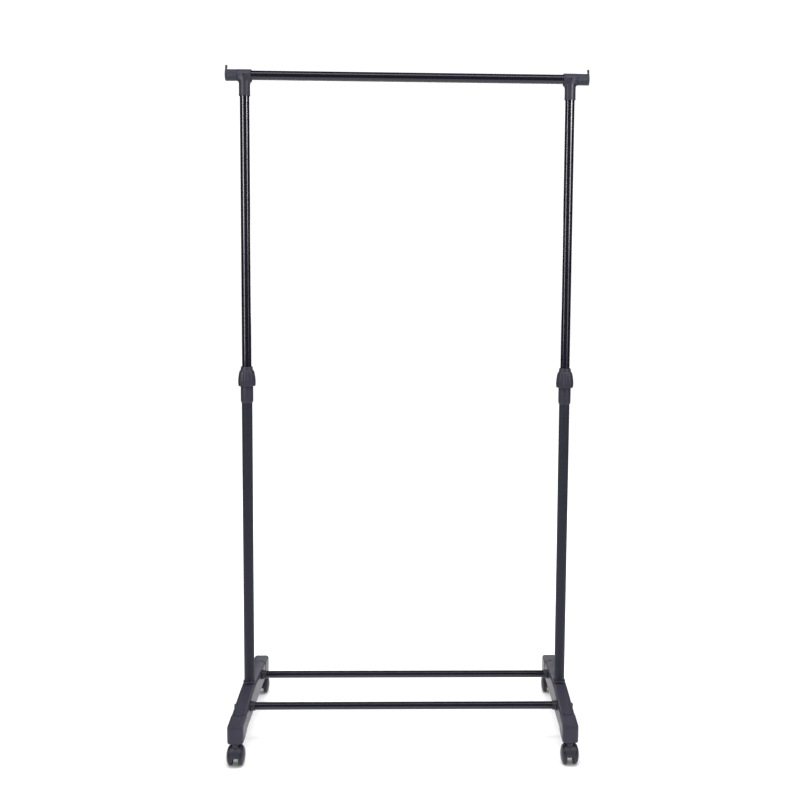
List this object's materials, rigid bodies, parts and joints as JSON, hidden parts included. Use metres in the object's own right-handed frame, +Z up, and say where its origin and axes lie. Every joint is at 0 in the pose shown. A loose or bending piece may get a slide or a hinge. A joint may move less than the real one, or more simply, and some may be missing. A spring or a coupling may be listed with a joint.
{
  "type": "garment rail",
  "caption": "Garment rail on swivel casters: a hanging rail on telescopic uprights with twist clamps, standing on moulded feet joined by low rails.",
  "frame": {"origin": "on the floor, under the middle of the base", "axes": "+X along the hanging rail to the viewer's right, -Y to the front, +Z up along the uprights"},
  "size_m": [0.8536, 0.455, 1.6015],
  "materials": {
    "gloss_tube": "gloss black powder coat with a faint violet cast",
    "satin_tube": "satin blue-black powder coat",
    "moulded_plastic": "fine-grained satin moulding, grey-black",
    "trim_plastic": "satin, near black",
    "caster_plastic": "satin moulding, grey-black",
    "wheel_plastic": "semi-gloss moulding, grey-black",
    "screw_steel": "blackened steel"
  },
  "bodies": {
    "base": {"left_foot_beam": "moulded_plastic", "left_front_foot_cap": "moulded_plastic", "left_rear_foot_cap": "moulded_plastic", "left_front_rail_ferrule": "trim_plastic", "left_front_rail_screw": "screw_steel", "left_rear_rail_ferrule": "trim_plastic", "left_rear_rail_screw": "screw_steel", "left_upright_collar": "trim_plastic", "left_lower_upright": "satin_tube", "left_upright_bolt": "screw_steel", "left_clamp_sleeve": "moulded_plastic", "left_clamp_collet": "trim_plastic", "right_foot_beam": "moulded_plastic", "right_front_foot_cap": "moulded_plastic", "right_rear_foot_cap": "moulded_plastic", "right_front_rail_ferrule": "trim_plastic", "right_front_rail_screw": "screw_steel", "right_rear_rail_ferrule": "trim_plastic", "right_rear_rail_screw": "screw_steel", "right_upright_collar": "trim_plastic", "right_lower_upright": "satin_tube", "right_upright_bolt": "screw_steel", "right_clamp_sleeve": "moulded_plastic", "right_clamp_collet": "trim_plastic", "front_base_rail": "gloss_tube", "rear_base_rail": "gloss_tube", "front_left_caster_stem": "screw_steel", "front_right_caster_stem": "screw_steel", "rear_left_caster_stem": "screw_steel", "rear_right_caster_stem": "screw_steel"},
    "upper_frame": {"left_upper_upright": "gloss_tube", "left_guide_bush": "trim_plastic", "left_tee": "moulded_plastic", "left_end_cap": "moulded_plastic", "right_upper_upright": "gloss_tube", "right_guide_bush": "trim_plastic", "right_tee": "moulded_plastic", "right_end_cap": "moulded_plastic", "top_rail": "gloss_tube"},
    "left_nut": {"left_twist_nut": "moulded_plastic"},
    "right_nut": {"right_twist_nut": "moulded_plastic"},
    "front_left_caster": {"front_left_caster_body": "caster_plastic", "front_left_caster_axle": "screw_steel"},
    "front_left_outer_wheel_body": {"front_left_outer_wheel": "wheel_plastic"},
    "front_left_inner_wheel_body": {"front_left_inner_wheel": "wheel_plastic"},
    "front_right_caster": {"front_right_caster_body": "caster_plastic", "front_right_caster_axle": "screw_steel"},
    "front_right_outer_wheel_body": {"front_right_outer_wheel": "wheel_plastic"},
    "front_right_inner_wheel_body": {"front_right_inner_wheel": "wheel_plastic"},
    "rear_left_caster": {"rear_left_caster_body": "caster_plastic", "rear_left_caster_axle": "screw_steel"},
    "rear_left_outer_wheel_body": {"rear_left_outer_wheel": "wheel_plastic"},
    "rear_left_inner_wheel_body": {"rear_left_inner_wheel": "wheel_plastic"},
    "rear_right_caster": {"rear_right_caster_body": "caster_plastic", "rear_right_caster_axle": "screw_steel"},
    "rear_right_outer_wheel_body": {"rear_right_outer_wheel": "wheel_plastic"},
    "rear_right_inner_wheel_body": {"rear_right_inner_wheel": "wheel_plastic"}
  },
  "joints": [
    {"name": "height_slide", "type": "slide", "parent": "base", "child": "upper_frame", "axis": [0, 0, 1], "range_m": [-0.63, 0.02]},
    {"name": "left_nut_twist", "type": "hinge", "parent": "base", "child": "left_nut", "pos_m": [-0.3826, 0, 0.867], "axis": [0, 0, 1], "range_deg": [0, 180]},
    {"name": "right_nut_twist", "type": "hinge", "parent": "base", "child": "right_nut", "pos_m": [0.3826, 0, 0.867], "axis": [0, 0, 1], "range_deg": [0, 180]},
    {"name": "front_left_caster_swivel", "type": "hinge", "parent": "base", "child": "front_left_caster", "pos_m": [-0.3826, -0.2105, 0.045], "axis": [0, 0, 1], "continuous": true},
    {"name": "front_left_outer_wheel_spin", "type": "hinge", "parent": "front_left_caster", "child": "front_left_outer_wheel_body", "pos_m": [-0.3968, -0.203, 0.022], "axis": [1, 0, 0], "continuous": true},
    {"name": "front_left_inner_wheel_spin", "type": "hinge", "parent": "front_left_caster", "child": "front_left_inner_wheel_body", "pos_m": [-0.3684, -0.203, 0.022], "axis": [1, 0, 0], "continuous": true},
    {"name": "front_right_caster_swivel", "type": "hinge", "parent": "base", "child": "front_right_caster", "pos_m": [0.3826, -0.2105, 0.045], "axis": [0, 0, 1], "continuous": true},
    {"name": "front_right_outer_wheel_spin", "type": "hinge", "parent": "front_right_caster", "child": "front_right_outer_wheel_body", "pos_m": [0.3968, -0.203, 0.022], "axis": [1, 0, 0], "continuous": true},
    {"name": "front_right_inner_wheel_spin", "type": "hinge", "parent": "front_right_caster", "child": "front_right_inner_wheel_body", "pos_m": [0.3684, -0.203, 0.022], "axis": [1, 0, 0], "continuous": true},
    {"name": "rear_left_caster_swivel", "type": "hinge", "parent": "base", "child": "rear_left_caster", "pos_m": [-0.3826, 0.2105, 0.045], "axis": [0, 0, 1], "continuous": true},
    {"name": "rear_left_outer_wheel_spin", "type": "hinge", "parent": "rear_left_caster", "child": "rear_left_outer_wheel_body", "pos_m": [-0.3968, 0.203, 0.022], "axis": [1, 0, 0], "continuous": true},
    {"name": "rear_left_inner_wheel_spin", "type": "hinge", "parent": "rear_left_caster", "child": "rear_left_inner_wheel_body", "pos_m": [-0.3684, 0.203, 0.022], "axis": [1, 0, 0], "continuous": true},
    {"name": "rear_right_caster_swivel", "type": "hinge", "parent": "base", "child": "rear_right_caster", "pos_m": [0.3826, 0.2105, 0.045], "axis": [0, 0, 1], "continuous": true},
    {"name": "rear_right_outer_wheel_spin", "type": "hinge", "parent": "rear_right_caster", "child": "rear_right_outer_wheel_body", "pos_m": [0.3968, 0.203, 0.022], "axis": [1, 0, 0], "continuous": true},
    {"name": "rear_right_inner_wheel_spin", "type": "hinge", "parent": "rear_right_caster", "child": "rear_right_inner_wheel_body", "pos_m": [0.3684, 0.203, 0.022], "axis": [1, 0, 0], "continuous": true}
  ]
}
